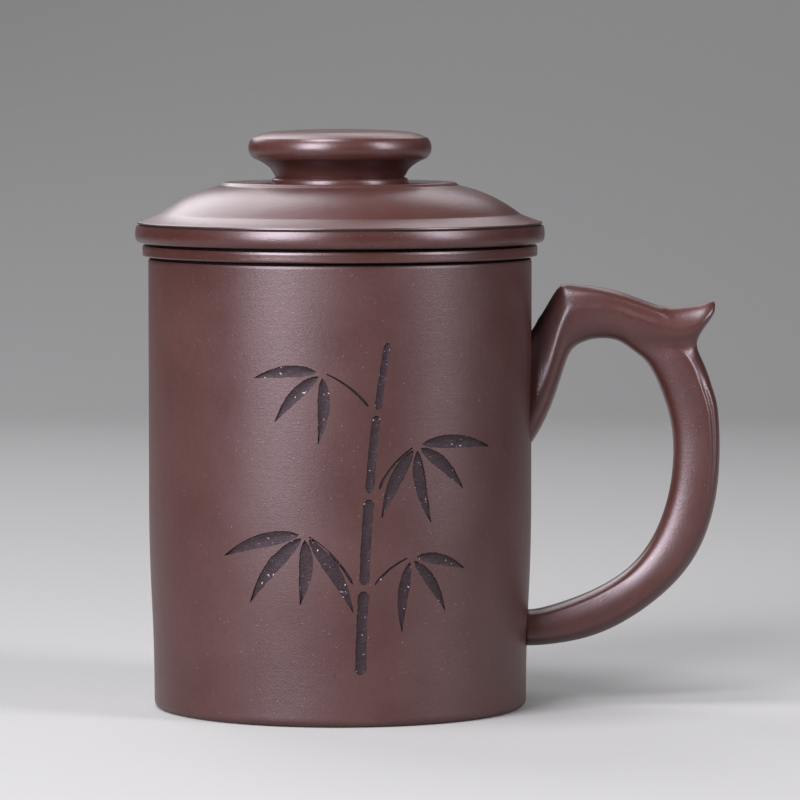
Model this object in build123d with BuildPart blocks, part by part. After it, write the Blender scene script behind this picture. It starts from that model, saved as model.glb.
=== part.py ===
from build123d import *
import os

# Clay tea cup with a strainer liner and a lift-off lid, in millimetres.
# The origin is on the cup's axis, in the plane that it stands on, with the handle towards +X.

# Cup
cup_height = 100.0
cup_radius = 42.5
cup_wall = 4.0
cup_floor = 5.0
foot_draw = 1.1
foot_straight = 2.0
waist_height = 46.0
foot_round = 1.4
rim_round = 0.8
inside_corner = 7.0
foot_ring_width = 5.5
foot_recess = 1.2

# Strainer liner that hangs in the cup by its flange
flange_overhang = 1.3
flange_thickness = 3.0
flange_round = 0.9
liner_gap = 1.3
liner_wall = 2.6
liner_draw = 2.6
liner_under = 34.0
liner_corner = 7.0
mouth_round = 0.6
hole_radius = 1.2
hole_sides = 8
floor_hole_pitch = 7.5
floor_hole_rings = 3
first_ring_holes = 6
wall_hole_rows = 3
wall_hole_row_pitch = 9.0
wall_holes_per_row = 16
wall_holes_start = 11.0

# Lid, with the collar that centres it in the liner's mouth
lid_overhang = 1.6
lid_edge_height = 4.2
lid_edge_tuck = 0.8
lid_edge_lean = 0.5
shoulder_width = 5.7
shoulder_rise = 2.6
shoulder_swell = 0.35
dome_width = 12.8
dome_rise = 6.0
dome_swell = 0.95
disc_edge_lean = 0.8
disc_rise = 0.7
dish_depth = 0.3
dish_margin = 3.0
lid_shell = 4.0
collar_gap = 0.6
collar_wall = 3.0
collar_depth = 8.0
collar_round = 0.8
mouth_land_extra = 3.0

# Knob
knob_radius = 20.25
knob_height = 12.0
knob_crown_rise = 1.05
knob_bevel_width = 0.6
knob_bevel_drop = 0.35
knob_edge_lean = 0.75
knob_belly_drop = 2.6
knob_head_depth = 5.7
knob_under_tuck = 1.65
knob_flare_rise = 1.6
knob_flare_swell = 0.55
knob_neck_radius = 14.2
knob_neck_taper = 1.1
knob_bead_width = 1.0
knob_bead_height = 0.7
knob_bead_swell = 0.15

# Handle, a bar of rounded section that turns through a loop, with a spur for the thumb
handle_reach = 42.1
handle_low = 13.2
handle_rise = 80.7
handle_width = 10.0
section_corner_share = 0.36

# Each station is its outer point, its inner point and its width, as shares of the reach from the
# wall, of the rise above the low edge, and of the handle's width.
strut_shares = (
    (-0.215, 0.615, -0.060, 0.535, 1.35),
    (-0.075, 0.795, 0.115, 0.670, 1.25),
    (0.060, 0.940, 0.190, 0.795, 1.15),
    (0.175, 0.995, 0.265, 0.840, 1.09),
    (0.320, 0.995, 0.350, 0.850, 1.07),
    (0.475, 0.975, 0.475, 0.840, 1.05),
)
spur_shares = (
    (0.630, 0.945, 0.625, 0.820, 1.04),
    (0.770, 0.935, 0.800, 0.840, 0.96),
    (0.880, 0.945, 0.915, 0.875, 0.76),
    (0.940, 0.950, 0.955, 0.910, 0.52),
    (0.960, 0.945, 0.965, 0.925, 0.30),
)
loop_shares = (
    (0.570, 0.935, 0.480, 0.855, 0.80),
    (0.770, 0.885, 0.635, 0.760, 1.00),
    (0.910, 0.790, 0.700, 0.680, 1.00),
    (0.990, 0.625, 0.745, 0.580, 0.98),
    (0.985, 0.445, 0.735, 0.450, 0.96),
    (0.890, 0.270, 0.655, 0.315, 0.96),
    (0.690, 0.140, 0.500, 0.210, 0.98),
    (0.390, 0.040, 0.285, 0.145, 1.02),
    (0.120, 0.005, 0.095, 0.110, 1.10),
    (-0.105, 0.000, -0.105, 0.090, 1.20),
)

# Runs of a cutting tool past the face that it cuts
overrun = 2.0

# Sizes that follow from those above
foot_radius = cup_radius - foot_draw
flange_radius = cup_radius + flange_overhang
lid_radius = flange_radius + lid_overhang
cup_inside_radius = cup_radius - cup_wall
lid_seat = cup_height + flange_thickness
liner_radius = cup_inside_radius - liner_gap
mouth_radius = liner_radius - liner_wall
land_bottom = lid_seat - collar_depth - mouth_land_extra
liner_base_radius = liner_radius - liner_draw
collar_radius = mouth_radius - collar_gap
collar_inside_radius = collar_radius - collar_wall
lid_edge_top = lid_seat + lid_edge_height
dome_radius = lid_radius - lid_edge_lean - shoulder_width
dome_base = lid_edge_top + shoulder_rise
disc_foot_radius = dome_radius - dome_width
disc_foot = dome_base + dome_rise
disc_top = disc_foot + disc_rise
disc_radius = disc_foot_radius - disc_edge_lean
knob_seat = disc_top - dish_depth
knob_bead_radius = knob_neck_radius + knob_bead_width
knob_neck_foot = knob_seat + knob_bead_height
knob_edge_radius = knob_radius - knob_edge_lean
knob_crown_radius = knob_edge_radius - knob_bevel_width
knob_top = knob_seat + knob_height
knob_crown_edge = knob_top - knob_crown_rise
knob_edge = knob_crown_edge - knob_bevel_drop
knob_under = knob_edge - knob_head_depth


def middle(a, b):
    """The number half way between two others."""
    return (a + b) / 2


def bulge(start, end, swell):
    """The middle point of an arc from start to end that stands out by swell, left of its way."""
    chord = Vector(*end) - Vector(*start)
    side = Vector(-chord.Y, chord.X).normalized() * swell
    return (Vector(*start) + Vector(*end)) / 2 + side


def station(outer, inner, width):
    """One rounded section of the handle, spanned from its outer to its inner point."""
    across = outer - inner
    depth = across.length
    plane = Plane(origin=(outer + inner) / 2, x_dir=across, z_dir=across.cross(Vector(0, 1, 0)))
    with BuildSketch(plane) as section:
        RectangleRounded(depth, width, section_corner_share * min(depth, width))
    return section.sketch


def handle_point(out_share, up_share):
    """A point of the handle's outline in its middle plane, from its shares."""
    return Vector(cup_radius + out_share * handle_reach, 0, handle_low + up_share * handle_rise)


def outline_stations(shares):
    """The sections at a table of shares, in its order."""
    return [
        station(handle_point(out_a, up_a), handle_point(out_b, up_b), width_share * handle_width)
        for out_a, up_a, out_b, up_b, width_share in shares
    ]


os.makedirs("parts", exist_ok=True)

# The cup's outer form: upright above the waist, drawn in to the foot by a slight ogee
with BuildPart() as cup_outside:
    with BuildSketch(Plane.XZ) as outside_section:
        with BuildLine():
            standing = Line((0, 0), (foot_radius, 0))
            heel = Line(standing @ 1, (foot_radius, foot_straight))
            ogee_middle = (middle(foot_radius, cup_radius), middle(foot_straight, waist_height))
            hollow = TangentArc(heel @ 1, ogee_middle, tangent=heel % 1)
            swell = TangentArc(hollow @ 1, (cup_radius, waist_height), tangent=hollow % 1)
            side = Line(swell @ 1, (cup_radius, cup_height))
            Polyline(side @ 1, (0, cup_height), (0, 0))
        make_face()
        heel_corner = outside_section.vertices().group_by(Axis.Y)[0].sort_by(Axis.X)[-1]
        fillet(heel_corner, foot_round)
    revolve(axis=Axis.Z)

# The cup: that form hollowed out, with a turned recess that leaves a foot ring to stand on
with BuildPart() as cup_body:
    add(cup_outside.part)
    with BuildSketch(Plane.XZ) as cavity_section:
        with BuildLine():
            Polyline(
                (0, cup_floor),
                (foot_radius - cup_wall, cup_floor),
                (cup_inside_radius, waist_height),
                (cup_inside_radius, cup_height + overrun),
                (0, cup_height + overrun),
                (0, cup_floor),
            )
        make_face()
        floor_corner = cavity_section.vertices().group_by(Axis.Y)[0].sort_by(Axis.X)[-1]
        fillet(floor_corner, inside_corner)
    revolve(axis=Axis.Z, mode=Mode.SUBTRACT)
    with BuildSketch():
        Circle(foot_radius - foot_round - foot_ring_width)
    extrude(amount=foot_recess, mode=Mode.SUBTRACT)
    rim = cup_body.faces().filter_by(Axis.Z).sort_by(Axis.Z)[-1]
    fillet(rim.edges(), rim_round)
cup_body.part.label = "cup_body"
export_step(cup_body.part, "parts/cup_body.step")

# The handle: a strut that leaves the wall aslant and runs on through the bar into the spur, and the
# loop that springs from under the bar, all trimmed by the cup's outer form
with BuildPart() as handle:
    loft(sections=outline_stations(strut_shares))
    loft(sections=outline_stations(strut_shares[-1:] + spur_shares))
    loft(sections=outline_stations(loop_shares))
    add(cup_outside.part, mode=Mode.SUBTRACT)
handle.part.label = "handle"
export_step(handle.part, "parts/handle.step")

# The strainer liner: a drawn-in basket under a flange, pierced through its floor and lower wall
with BuildPart() as liner:
    with BuildSketch(Plane.XZ) as liner_section:
        with BuildLine():
            Polyline(
                (0, liner_under),
                (liner_base_radius, liner_under),
                (liner_radius, land_bottom),
                (liner_radius, cup_height),
                (flange_radius, cup_height),
                (flange_radius, lid_seat),
                (mouth_radius, lid_seat),
                (mouth_radius, land_bottom),
                (liner_base_radius - liner_wall, liner_under + liner_wall),
                (0, liner_under + liner_wall),
                (0, liner_under),
            )
        make_face()
        levels = liner_section.vertices().group_by(Axis.Y)
        inner_corner = levels[1].sort_by(Axis.X)[-1]
        outer_corner = levels[0].sort_by(Axis.X)[-1]
        mouth_corner = levels[-1].sort_by(Axis.X)[0]
        flange_corners = liner_section.vertices().group_by(Axis.X)[-1]
        fillet(inner_corner, liner_corner - liner_wall)
        fillet(outer_corner, liner_corner)
        fillet(mouth_corner, mouth_round)
        fillet(flange_corners, flange_round)
    revolve(axis=Axis.Z)
    with BuildSketch(Plane.XY.offset(liner_under - overrun)):
        RegularPolygon(hole_radius, hole_sides)
        for ring in range(1, floor_hole_rings + 1):
            with PolarLocations(ring * floor_hole_pitch, ring * first_ring_holes):
                RegularPolygon(hole_radius, hole_sides)
    extrude(amount=liner_wall + 2 * overrun, mode=Mode.SUBTRACT)
    for row in range(wall_hole_rows):
        row_height = liner_under + wall_holes_start + row * wall_hole_row_pitch
        stagger = (row % 2) * 180 / wall_holes_per_row
        for way in PolarLocations(0, wall_holes_per_row, stagger):
            with BuildSketch(Plane(way * Location((0, 0, row_height), (0, 90, 0)))):
                RegularPolygon(hole_radius, hole_sides)
    extrude(amount=cup_radius, mode=Mode.SUBTRACT)
liner.part.label = "strainer_liner"
export_step(liner.part, "parts/strainer_liner.step")

# The lid: a shell with an upright edge, a sloping shoulder, a dome and a low disc under the knob
with BuildPart() as lid:
    with BuildSketch(Plane.XZ):
        with BuildLine():
            edge = ThreePointArc(
                (lid_radius - lid_edge_tuck, lid_seat),
                (lid_radius, middle(lid_seat, lid_edge_top)),
                (lid_radius - lid_edge_lean, lid_edge_top),
            )
            shoulder_end = (dome_radius, dome_base)
            shoulder_middle = bulge(shoulder_end, tuple(edge @ 1)[:2], shoulder_swell)
            shoulder = ThreePointArc(edge @ 1, shoulder_middle, shoulder_end)
            dome_end = (disc_foot_radius, disc_foot)
            dome = ThreePointArc(shoulder @ 1, bulge(dome_end, shoulder_end, dome_swell), dome_end)
            Polyline(
                dome @ 1,
                (disc_radius, disc_top),
                (knob_bead_radius + dish_margin, knob_seat),
                (0, knob_seat),
                (0, knob_seat - lid_shell),
                (disc_foot_radius - lid_shell, knob_seat - lid_shell),
                (collar_inside_radius, lid_edge_top),
                (collar_inside_radius, lid_seat),
                edge @ 0,
            )
        make_face()
    revolve(axis=Axis.Z)
lid.part.label = "lid"
export_step(lid.part, "parts/lid.step")

# The collar luted under the lid
with BuildPart() as lid_collar:
    with BuildSketch(Plane.XY.offset(lid_seat)):
        Circle(collar_radius)
        Circle(collar_inside_radius, mode=Mode.SUBTRACT)
    extrude(amount=-collar_depth)
    lower_rim = lid_collar.faces().filter_by(Axis.Z).sort_by(Axis.Z)[0]
    fillet(lower_rim.edges(), collar_round)
lid_collar.part.label = "lid_collar"
export_step(lid_collar.part, "parts/lid_collar.step")

# The knob: a neck with a bead at its foot, swept out under a flat head with a slight crown
with BuildPart() as knob:
    with BuildSketch(Plane.XZ):
        with BuildLine():
            foot = Line((0, knob_seat), (knob_bead_radius, knob_seat))
            neck_start = (knob_neck_radius, knob_neck_foot)
            bead_middle = bulge(neck_start, tuple(foot @ 1)[:2], knob_bead_swell)
            ThreePointArc(foot @ 1, bead_middle, neck_start)
            flare_start = (knob_neck_radius + knob_neck_taper, knob_under - knob_flare_rise)
            Line(neck_start, flare_start)
            flare_end = (knob_radius - knob_under_tuck, knob_under)
            ThreePointArc(flare_start, bulge(flare_start, flare_end, knob_flare_swell), flare_end)
            head_edge = (knob_edge_radius, knob_edge)
            ThreePointArc(flare_end, (knob_radius, knob_edge - knob_belly_drop), head_edge)
            crown_edge = (knob_crown_radius, knob_crown_edge)
            Line(head_edge, crown_edge)
            crown = TangentArc((0, knob_top), crown_edge, tangent=(1, 0))
            Line(crown @ 0, foot @ 0)
        make_face()
    revolve(axis=Axis.Z)
knob.part.label = "knob"
export_step(knob.part, "parts/knob.step")
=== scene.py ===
import math
import random

import bmesh
import bpy
from mathutils import Matrix, Vector


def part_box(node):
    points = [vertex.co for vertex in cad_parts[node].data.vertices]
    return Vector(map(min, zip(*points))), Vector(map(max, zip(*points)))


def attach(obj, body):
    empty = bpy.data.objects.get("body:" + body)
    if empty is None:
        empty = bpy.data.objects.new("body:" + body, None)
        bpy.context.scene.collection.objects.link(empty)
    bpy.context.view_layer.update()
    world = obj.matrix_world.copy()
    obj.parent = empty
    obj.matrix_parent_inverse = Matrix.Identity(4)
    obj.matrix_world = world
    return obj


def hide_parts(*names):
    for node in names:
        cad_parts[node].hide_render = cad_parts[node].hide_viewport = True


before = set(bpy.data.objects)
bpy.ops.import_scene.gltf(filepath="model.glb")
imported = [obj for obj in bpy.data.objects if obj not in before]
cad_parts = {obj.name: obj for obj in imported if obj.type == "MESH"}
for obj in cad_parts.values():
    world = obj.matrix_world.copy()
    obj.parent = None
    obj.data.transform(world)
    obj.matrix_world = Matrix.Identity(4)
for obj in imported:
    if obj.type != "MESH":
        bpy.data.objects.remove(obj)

bl_info = {
    "name": "Clay tea cup",
    "version": (1, 0, 0),
    "blender": (4, 5, 0),
    "location": "3D View > Sidebar > Tea cup",
    "description": "Builds a turned clay tea cup with a strainer liner and a lid around its packed frame",
    "category": "Add Mesh",
}

MM = 0.001

# The frame's own sizes, in metres
cup_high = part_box("cup_body")[1]
liner_low, liner_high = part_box("strainer_liner")
lid_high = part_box("lid")[1]
collar_low, collar_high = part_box("lid_collar")
knob_low, knob_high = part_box("knob")

CUP_RADIUS = cup_high.y
CUP_HEIGHT = cup_high.z
FLANGE_RADIUS = liner_high.y
LID_SEAT = liner_high.z
LINER_UNDER = liner_low.z
LID_RADIUS = lid_high.y
COLLAR_RADIUS = collar_high.y
COLLAR_LOW = collar_low.z
KNOB_SEAT = knob_low.z
KNOB_TOP = knob_high.z
KNOB_RADIUS = knob_high.y

# The shadow gaps at the two seams: how far the edge over each is lifted, how far the one under it is
# dropped, how deep the gap runs in, and how much farther in the painted shade in the gap goes
SEAM_LIFT = 0.15 * MM
SEAM_DROP = 0.5 * MM
SEAM_DEPTH = 3.6 * MM
SEAM_END = FLANGE_RADIUS - SEAM_DEPTH
SEAM_MARGIN = 0.05 * MM
SEAM_MIDDLE = (SEAM_LIFT - SEAM_DROP) / 2
SEAM_HALF = (SEAM_LIFT + SEAM_DROP) / 2

# The fine line cut round the lid over its seat
LINE_CUT = 4.10 * MM
LINE_HALF = 0.21 * MM

# What lies in shadow at each seam and at the line: the height of its middle and half its opening
SEAMS = (
    (CUP_HEIGHT + SEAM_MIDDLE, SEAM_HALF),
    (LID_SEAT + SEAM_MIDDLE, SEAM_HALF),
    (LID_SEAT + LINE_CUT, LINE_HALF),
)

# How finely round forms are divided, and where a face's edge counts as crisp
TURN_STEPS = 192
SOFT_SEGMENTS = 4
EVEN_PROFILE = 0.5
MERGE_REACH = 2e-6
CRISP_OVER = math.radians(38)
ALL_SMOOTH = math.pi


def length(name, value, about):
    """A length that a user may change, in metres."""
    return bpy.props.FloatProperty(
        name=name, description=about, default=value, min=0, precision=5, unit="LENGTH"
    )


def share(name, value, about):
    """A share between nothing and all."""
    return bpy.props.FloatProperty(
        name=name, description=about, default=value, min=0, max=1, subtype="FACTOR"
    )


def colour(name, value, about):
    """A linear colour that a user may change."""
    return bpy.props.FloatVectorProperty(
        name=name, description=about, default=value, size=4, min=0, max=1, subtype="COLOR"
    )


class TeaCupSizes(bpy.types.PropertyGroup):
    """Sizes of the clay pieces that the frame's boxes don't give"""

    cup_wall: length("Cup wall", 4.0 * MM, "Thickness of the cup's wall")
    cup_floor: length("Cup floor", 5.0 * MM, "Height of the cup's inside floor over the table")
    foot_draw: length("Foot draw", 1.1 * MM, "How much narrower the foot is than the body")
    waist_height: length("Waist height", 46.0 * MM, "Height at which the wall becomes upright")
    liner_wall: length("Liner wall", 2.6 * MM, "Thickness of the strainer basket")
    liner_gap: length("Liner gap", 1.3 * MM, "Space between the basket and the cup")
    flange_thickness: length("Flange", 3.0 * MM, "Thickness of the liner's flange")
    hole_radius: length("Hole radius", 1.2 * MM, "Radius of the strainer's holes")
    lid_shell: length("Lid shell", 4.0 * MM, "Thickness of the lid")
    edge_softening: length("Edge softening", 0.22 * MM, "Reach of the small rounds on worked edges")
    handle_width: length("Handle width", 10.0 * MM, "Breadth of the handle across the cup")
    carving_depth: length("Carving depth", 0.42 * MM, "Depth of the cut bamboo sprig")


class TeaCupFinish(bpy.types.PropertyGroup):
    """Colours and polish of the clay and the stage"""

    clay: colour("Clay", (0.036, 0.0110, 0.0086, 1), "Fired clay body")
    clay_pale: colour("Pale clay", (0.062, 0.026, 0.022, 1), "Sand and worn edges in the clay")
    clay_deep: colour("Deep clay", (0.022, 0.0068, 0.0055, 1), "Iron-rich spots in the clay")
    carving: colour("Carving", (0.011, 0.007, 0.0075, 1), "Colour rubbed into the cut strokes")
    floor: colour("Floor", (0.29, 0.2875, 0.284, 1), "Floor and backdrop")
    roughness: share("Roughness", 0.38, "Roughness of the burnished clay")
    sparkle: share("Sparkle", 0.5, "How many mica flecks catch the light")


def sizes():
    """The size settings of this scene."""
    return bpy.context.scene.tea_cup_sizes


def finish():
    """The colour settings of this scene."""
    return bpy.context.scene.tea_cup_finish


# Shader maths


class Value:
    """A node's output that can be used in Python arithmetic."""

    def __init__(self, recipe, socket):
        self.recipe = recipe
        self.socket = socket

    def maths(self, operation, first, second=None):
        sockets = {0: first} if second is None else {0: first, 1: second}
        return self.recipe.node("ShaderNodeMath", {"operation": operation}, sockets)

    def __add__(self, other):
        return self.maths("ADD", self, other)

    __radd__ = __add__

    def __sub__(self, other):
        return self.maths("SUBTRACT", self, other)

    def __rsub__(self, other):
        return self.maths("SUBTRACT", other, self)

    def __mul__(self, other):
        return self.maths("MULTIPLY", self, other)

    __rmul__ = __mul__

    def __gt__(self, other):
        return self.maths("GREATER_THAN", self, other)

    def __abs__(self):
        return self.maths("ABSOLUTE", self)


class Recipe:
    """One material, built node by node."""

    def __init__(self, name):
        self.material = bpy.data.materials.new(name)
        self.material.use_nodes = True
        self.tree = self.material.node_tree
        self.tree.nodes.clear()

    def node(self, kind, settings=None, sockets=None, output=0):
        """A new node with its settings made first and its sockets given values or links."""
        made = self.tree.nodes.new(kind)
        for key, value in (settings or {}).items():
            if key == "stops":
                ramp = made.color_ramp
                while len(ramp.elements) < len(value):
                    ramp.elements.new(1)
                for element, (place, level) in zip(ramp.elements, value):
                    element.position = place
                    element.color = (level, level, level, 1)
            else:
                setattr(made, key, value)
        for key, value in (sockets or {}).items():
            if isinstance(value, Value):
                self.tree.links.new(value.socket, made.inputs[key])
            else:
                made.inputs[key].default_value = value
        return Value(self, made.outputs[output]) if made.outputs else None

    def place(self):
        """Object coordinates."""
        return self.node("ShaderNodeTexCoord", output=3)

    def stretched(self, scale):
        """Object coordinates with a scale for each axis."""
        return self.node("ShaderNodeMapping", sockets={"Vector": self.place(), "Scale": scale})

    def height(self, where):
        """How high a place is over the object's own origin."""
        return self.node("ShaderNodeSeparateXYZ", {}, {0: where}, output=2)

    def reach(self):
        """How far out from the upright axis a place is."""
        flat = self.stretched((1, 1, 0))
        return self.node("ShaderNodeVectorMath", {"operation": "LENGTH"}, {0: flat}, output=1)

    def noise(self, where, scale, detail=3.0, roughness=0.55):
        """Soft noise between nothing and one."""
        sockets = {"Vector": where, "Scale": scale, "Detail": detail, "Roughness": roughness}
        return self.node("ShaderNodeTexNoise", sockets=sockets)

    def ramp(self, value, *stops):
        """A value sent through grey stops."""
        return self.node("ShaderNodeValToRGB", {"stops": stops}, {0: value})

    def mix(self, factor, first, second):
        """A blend of two colours."""
        sockets = {0: factor, 6: first, 7: second}
        return self.node("ShaderNodeMix", {"data_type": "RGBA"}, sockets, output=2)

    def bump(self, height, distance):
        """A normal bent by a height."""
        return self.node("ShaderNodeBump", sockets={"Height": height, "Distance": distance, "Strength": 1})

    def surface(self, **sockets):
        """The material's own shader, with its sockets' names given in small letters."""
        named = {key.replace("_", " ").title(): value for key, value in sockets.items() if key != "ior"}
        shader = self.node("ShaderNodeBsdfPrincipled", sockets={**named, "IOR": sockets["ior"]})
        self.node("ShaderNodeOutputMaterial", sockets={"Surface": shader})
        return self.material


# How fine each pattern in the clay is, in repeats a metre
CLOUD_SCALE = 45
MARK_SCALE = 700
SAND_SCALE = 900
CHIP_SCALE = 1500
GRAIN_SCALE = 2600
TURNING_SCALE = (14, 14, 2600)

# Where each pattern starts and ends on its noise, and how strong it is there
CLOUD_STOPS = ((0.35, 0), (0.68, 0.35))
DULL_STOPS = ((0.3, 0), (0.7, 1))
PALE_STOPS = ((0.58, 0), (0.74, 1))
DEEP_STOPS = ((0.30, 1), (0.42, 0))
CHIP_STOPS = ((0.69, 0), (0.73, 1))
BARE_STOPS = ((0.50, 0), (0.75, 0.35))
PALE_SHARE = 0.55
DEEP_SHARE = 0.6
CLOUD_DULLING = 0.08

# Mica flecks: how many of the cells hold one at most, how large it is in its cell, and how it shines
FLECK_SHARE = 0.03
FLECK_RADIUS = 0.24
FLECK_COLOUR = (0.20, 0.15, 0.155, 1)
FLECK_METAL = 0.3
FLECK_POLISH = 0.1

# How dark the shade painted into the gaps of the seams and the cut line is, and how dull they are
SEAM_PAINTED_SHADE = (0.002, 0.001, 0.001, 1)
SEAM_DULLING = 0.5

# What the clay's relief is made of, and how high it stands
GRAIN_RELIEF = 0.55
SAND_RELIEF = 0.45
TURNING_RELIEF = 0.16
CLAY_RELIEF = 0.055 * MM

# How the burnished surface reflects
CLAY_TINT = (1.0, 0.90, 1.0, 1)
CLAY_IOR = 1.55
TURNED_POLISH = 0.11
PRESSED_POLISH = 0.09

# The floor of the carved strokes
CHIP_COLOUR = (0.42, 0.33, 0.34, 1)
CHIP_POLISH = 0.25
CARVING_ROUGHNESS = 0.46
CARVING_GRAIN = 0.2
CARVING_MARK_RELIEF = 0.7
CARVING_GRAIN_RELIEF = 0.3
CARVING_RELIEF = 0.3 * MM
CARVING_TINT = (1.0, 0.80, 0.95, 1)
CARVING_IOR = 1.36


def clay_finish(name, turned, polish=0.0):
    """Burnished, unglazed clay: sand and iron spots, mica flecks, and where it was turned, turning lines and
    painted seam shade.
    """
    colours = finish()
    pale_clay = tuple(colours.clay_pale)
    recipe = Recipe(name)
    where = recipe.place()
    cloud = recipe.noise(where, CLOUD_SCALE)
    grain = recipe.noise(where, GRAIN_SCALE, detail=2.0)
    sand = recipe.noise(where, SAND_SCALE, detail=4.0, roughness=0.7)
    pale = recipe.ramp(sand, *PALE_STOPS) * PALE_SHARE
    deep = recipe.ramp(sand, *DEEP_STOPS) * DEEP_SHARE
    body = recipe.mix(recipe.ramp(cloud, *CLOUD_STOPS), tuple(colours.clay), pale_clay)
    body = recipe.mix(pale, body, pale_clay)
    body = recipe.mix(deep, body, tuple(colours.clay_deep))
    cells = {"feature": "F1", "distance": "EUCLIDEAN"}
    speck = recipe.node("ShaderNodeTexVoronoi", cells, {"Vector": where, "Scale": GRAIN_SCALE})
    chance = recipe.node("ShaderNodeTexVoronoi", cells, {"Vector": where, "Scale": GRAIN_SCALE}, output=1)
    lot = recipe.node("ShaderNodeSeparateColor", {}, {0: chance})
    flecks = (lot > 1 - FLECK_SHARE * colours.sparkle) * (FLECK_RADIUS - speck > 0)
    body = recipe.mix(flecks, body, FLECK_COLOUR)
    roughness = recipe.ramp(cloud, *DULL_STOPS) * CLOUD_DULLING + (colours.roughness - polish)
    roughness = roughness + flecks * -FLECK_POLISH
    relief = grain * GRAIN_RELIEF + sand * SAND_RELIEF
    if turned:
        lines = recipe.noise(recipe.stretched(TURNING_SCALE), 1, detail=3.0, roughness=0.6)
        relief = relief + lines * TURNING_RELIEF
        # Painted shade: near-black colour in the gaps at the seams and in the cut line round the lid,
        # standing in for their shadow
        up = recipe.height(where)
        outside = recipe.reach() > SEAM_END - SEAM_MARGIN
        for middle, half in SEAMS:
            inside = (half - abs(up - middle) > 0) * outside
            body = recipe.mix(inside, body, SEAM_PAINTED_SHADE)
            roughness = roughness + inside * SEAM_DULLING
    return recipe.surface(
        base_color=body,
        roughness=roughness,
        metallic=flecks * FLECK_METAL,
        normal=recipe.bump(relief, CLAY_RELIEF),
        specular_tint=CLAY_TINT,
        ior=CLAY_IOR,
    )


def carving_finish(name):
    """Dark colour rubbed into the rough floor of the cut strokes."""
    colours = finish()
    recipe = Recipe(name)
    where = recipe.place()
    marks = recipe.noise(where, MARK_SCALE, detail=5.0, roughness=0.7)
    grain = recipe.noise(where, GRAIN_SCALE, detail=2.0)
    chips = recipe.ramp(recipe.noise(where, CHIP_SCALE, detail=2.0, roughness=0.6), *CHIP_STOPS)
    body = recipe.mix(recipe.ramp(marks, *BARE_STOPS), tuple(colours.carving), tuple(colours.clay))
    body = recipe.mix(chips, body, CHIP_COLOUR)
    return recipe.surface(
        base_color=body,
        roughness=grain * CARVING_GRAIN + CARVING_ROUGHNESS + chips * -CHIP_POLISH,
        normal=recipe.bump(marks * CARVING_MARK_RELIEF + grain * CARVING_GRAIN_RELIEF, CARVING_RELIEF),
        specular_tint=CARVING_TINT,
        ior=CARVING_IOR,
    )


# Mesh helpers


def arc(start, end, swell, count):
    """Points from start to end on an arc that stands out by swell, left of its way."""
    chord = Vector(end) - Vector(start)
    side = Vector((-chord.y, chord.x)).normalized()
    points = []
    for step in range(count + 1):
        along = step / count
        points.append(Vector(start) + chord * along + side * swell * 4 * along * (1 - along))
    return [tuple(point) for point in points]


def even(start, end, count):
    """Points on a straight line, both ends included."""
    return arc(start, end, 0, count)


def corner(radius, height, reach):
    """A corner of an outline with the reach of its round."""
    return (radius, height, reach)


def turned(name, outline, ring=False):
    """A piece spun about the upright axis. Points of the outline may carry the reach of their round."""
    mesh = bmesh.new()
    points = [mesh.verts.new((point[0], 0, point[1])) for point in outline]
    for first, second in zip(points, points[1:]):
        mesh.edges.new((first, second))
    if ring:
        mesh.edges.new((points[-1], points[0]))
    rounds = {}
    for vert, point in zip(points, outline):
        if len(point) > 2:
            rounds.setdefault(point[2], []).append(vert)
    for reach, chosen in sorted(rounds.items()):
        bmesh.ops.bevel(
            mesh,
            geom=chosen,
            offset=reach,
            offset_type="OFFSET",
            segments=SOFT_SEGMENTS,
            profile=EVEN_PROFILE,
            affect="VERTICES",
            material=-1,
        )
    bmesh.ops.spin(
        mesh,
        geom=mesh.verts[:] + mesh.edges[:],
        cent=(0, 0, 0),
        axis=(0, 0, 1),
        angle=math.tau,
        steps=TURN_STEPS,
        use_merge=True,
    )
    return closed(name, mesh)


def closed(name, mesh, crisp_over=CRISP_OVER):
    """The finished object of a bmesh: doubles merged, faces outwards, smooth but for crisp edges."""
    bmesh.ops.remove_doubles(mesh, verts=mesh.verts, dist=MERGE_REACH)
    bmesh.ops.recalc_face_normals(mesh, faces=mesh.faces)
    data = bpy.data.meshes.new(name)
    mesh.to_mesh(data)
    mesh.free()
    data.shade_smooth()
    data.set_sharp_from_angle(angle=crisp_over)
    made = bpy.data.objects.new(name, data)
    bpy.context.scene.collection.objects.link(made)
    return made


def apply(piece):
    """Makes the piece's modifiers part of its mesh."""
    bpy.context.view_layer.update()
    shape = piece.evaluated_get(bpy.context.evaluated_depsgraph_get())
    data = bpy.data.meshes.new_from_object(shape)
    piece.modifiers.clear()
    piece.data = data


def cut(piece, cutter):
    """Takes the cutter's volume out of the piece, whose new faces keep the cutter's material."""
    tool = piece.modifiers.new("Cut", "BOOLEAN")
    tool.operation = "DIFFERENCE"
    tool.solver = "MANIFOLD"
    tool.material_mode = "TRANSFER"
    tool.object = cutter
    apply(piece)
    data = cutter.data
    bpy.data.objects.remove(cutter)
    bpy.data.meshes.remove(data)
    piece.data.shade_smooth()
    piece.data.set_sharp_from_angle(angle=CRISP_OVER)


def dress(piece, body, node, coat):
    """Puts the piece on its body, in place of its node, with its material."""
    piece.data.materials.clear()
    piece.data.materials.append(coat)
    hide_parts(node)
    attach(piece, body)


def material(name, maker, *details):
    """The material of that name, made the first time it is asked for."""
    return bpy.data.materials.get(name) or maker(name, *details)


def turned_clay():
    """Clay with turning lines and painted shade in its seams."""
    return material("turned_clay", clay_finish, True)


def polished_clay():
    """Clay with turning lines and painted shade in its seams, burnished once more as on the lid and the
    flange.
    """
    return material("polished_clay", clay_finish, True, TURNED_POLISH)


def pressed_clay():
    """Clay without turning lines, burnished by hand."""
    return material("pressed_clay", clay_finish, False, PRESSED_POLISH)


# The cup

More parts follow.
